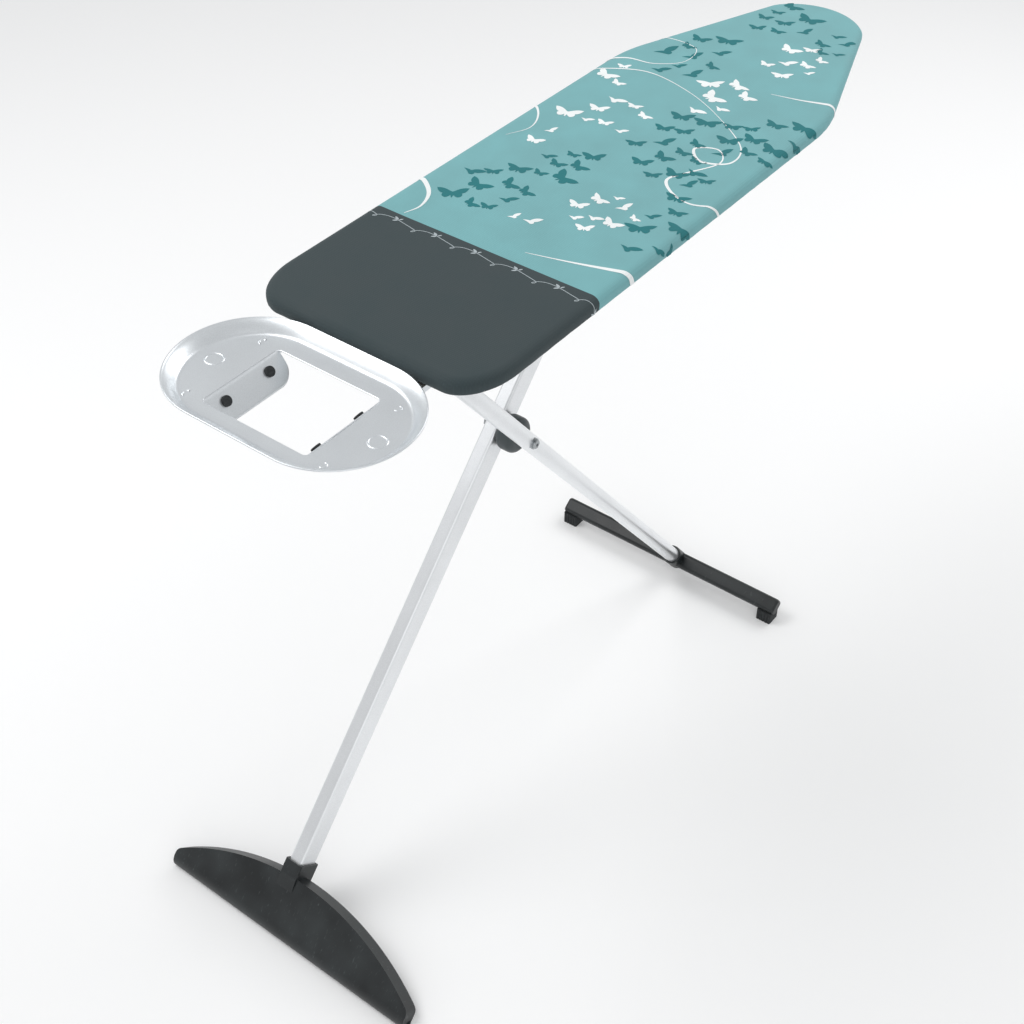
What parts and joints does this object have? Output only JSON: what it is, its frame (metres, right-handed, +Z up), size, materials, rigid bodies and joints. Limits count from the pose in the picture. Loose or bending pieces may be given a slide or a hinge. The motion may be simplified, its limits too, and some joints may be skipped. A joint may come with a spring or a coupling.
{
  "type": "ironing board",
  "caption": "Folding ironing board with a padded cover, a pressed steel iron tray, crossed oblong and round legs, a half-moon foot, a bar foot and a lever height lock.",
  "frame": {"origin": "on the floor, under the middle of the whole object's bounding box", "axes": "+X along the board from the iron tray to the nose, +Y across the board, +Z up"},
  "size_m": [1.4593, 0.4935, 1.013],
  "materials": {
    "cover_fabric": "woven cotton, printed in teal with a dark grey heat zone",
    "hem_elastic": "woven elastic binding",
    "pad_felt": "soft needle felt",
    "frame_paint": "silver powder coat",
    "tray_paint": "smooth silver paint",
    "leg_paint": "satin silver lacquer",
    "dark_plastic": "moulded, satin, blue-grey black",
    "rubber": "moulded, matte",
    "nylon": "natural nylon",
    "spring_steel": "drawn wire",
    "plated_steel": "zinc plated"
  },
  "bodies": {
    "board": {"cover": "cover_fabric", "cover_hem": "hem_elastic", "foam_pad": "pad_felt", "deck_panel": "frame_paint", "rim_channel": "frame_paint", "rail_left": "frame_paint", "rail_right": "frame_paint", "rail_rivets": "plated_steel", "hinge_axle": "plated_steel", "hinge_caps": "dark_plastic", "iron_tray": "tray_paint", "tray_arm_left": "tray_paint", "tray_arm_right": "tray_paint", "tray_rivets": "plated_steel", "lever_lug_front": "frame_paint", "lever_lug_back": "frame_paint", "return_spring": "spring_steel", "cross_member_1": "frame_paint", "cross_member_2": "frame_paint", "cross_member_3": "frame_paint", "cross_member_4": "frame_paint", "cross_member_5": "frame_paint", "tray_buffer_1": "rubber", "tray_buffer_2": "rubber", "tray_buffer_3": "rubber", "tray_buffer_4": "rubber"},
    "round_leg": {"round_tube": "leg_paint", "round_top_plug": "dark_plastic", "pivot_disc": "dark_plastic", "saddle_washer": "plated_steel", "pivot_bolt": "plated_steel", "flat_washer": "plated_steel", "pivot_nut": "plated_steel", "bar_foot": "dark_plastic", "bar_foot_plug": "dark_plastic", "bar_foot_screw": "plated_steel", "bar_pad_left": "rubber", "bar_pad_right": "rubber"},
    "oblong_leg": {"oblong_tube": "leg_paint", "oblong_top_plug": "dark_plastic", "pivot_bush": "nylon", "slide_axle": "plated_steel", "moon_foot": "dark_plastic", "moon_spigot": "dark_plastic", "moon_screws": "plated_steel", "moon_glide_left": "rubber", "moon_glide_right": "rubber"},
    "slider": {"slide_shoe_left": "nylon", "slide_shoe_right": "nylon"},
    "lock_lever": {"lever_arm_front": "frame_paint", "lever_arm_back": "frame_paint", "lever_pins": "plated_steel", "lock_rack": "plated_steel", "release_bar": "plated_steel", "release_grip": "dark_plastic"}
  },
  "joints": [
    {"name": "fold", "type": "hinge", "parent": "board", "child": "round_leg", "pos_m": [-0.40035, 0, 0.975], "axis": [0, -1, 0], "range_deg": [0, 48]},
    {"name": "crossing", "type": "hinge", "parent": "round_leg", "child": "oblong_leg", "pos_m": [-0.13457, 0, 0.64207], "axis": [0, 1, 0], "range_deg": [0, 92.41]},
    {"name": "slider_pivot", "type": "hinge", "parent": "oblong_leg", "child": "slider", "pos_m": [0.16943, 0, 0.975], "axis": [0, -1, 0], "range_deg": [0, 44.41]},
    {"name": "release", "type": "hinge", "parent": "board", "child": "lock_lever", "pos_m": [0.12466, 0.012, 0.994], "axis": [-1, 0, 0], "range_deg": [0, 5], "stiffness_Nm_per_rad": 3, "springref_deg": -8.59, "deforming": ["return_spring"]}
  ],
  "couplings": [
    {"joint": "crossing", "follows": "fold", "ratio": 1.9247},
    {"joint": "slider_pivot", "follows": "fold", "ratio": 0.92474}
  ]
}
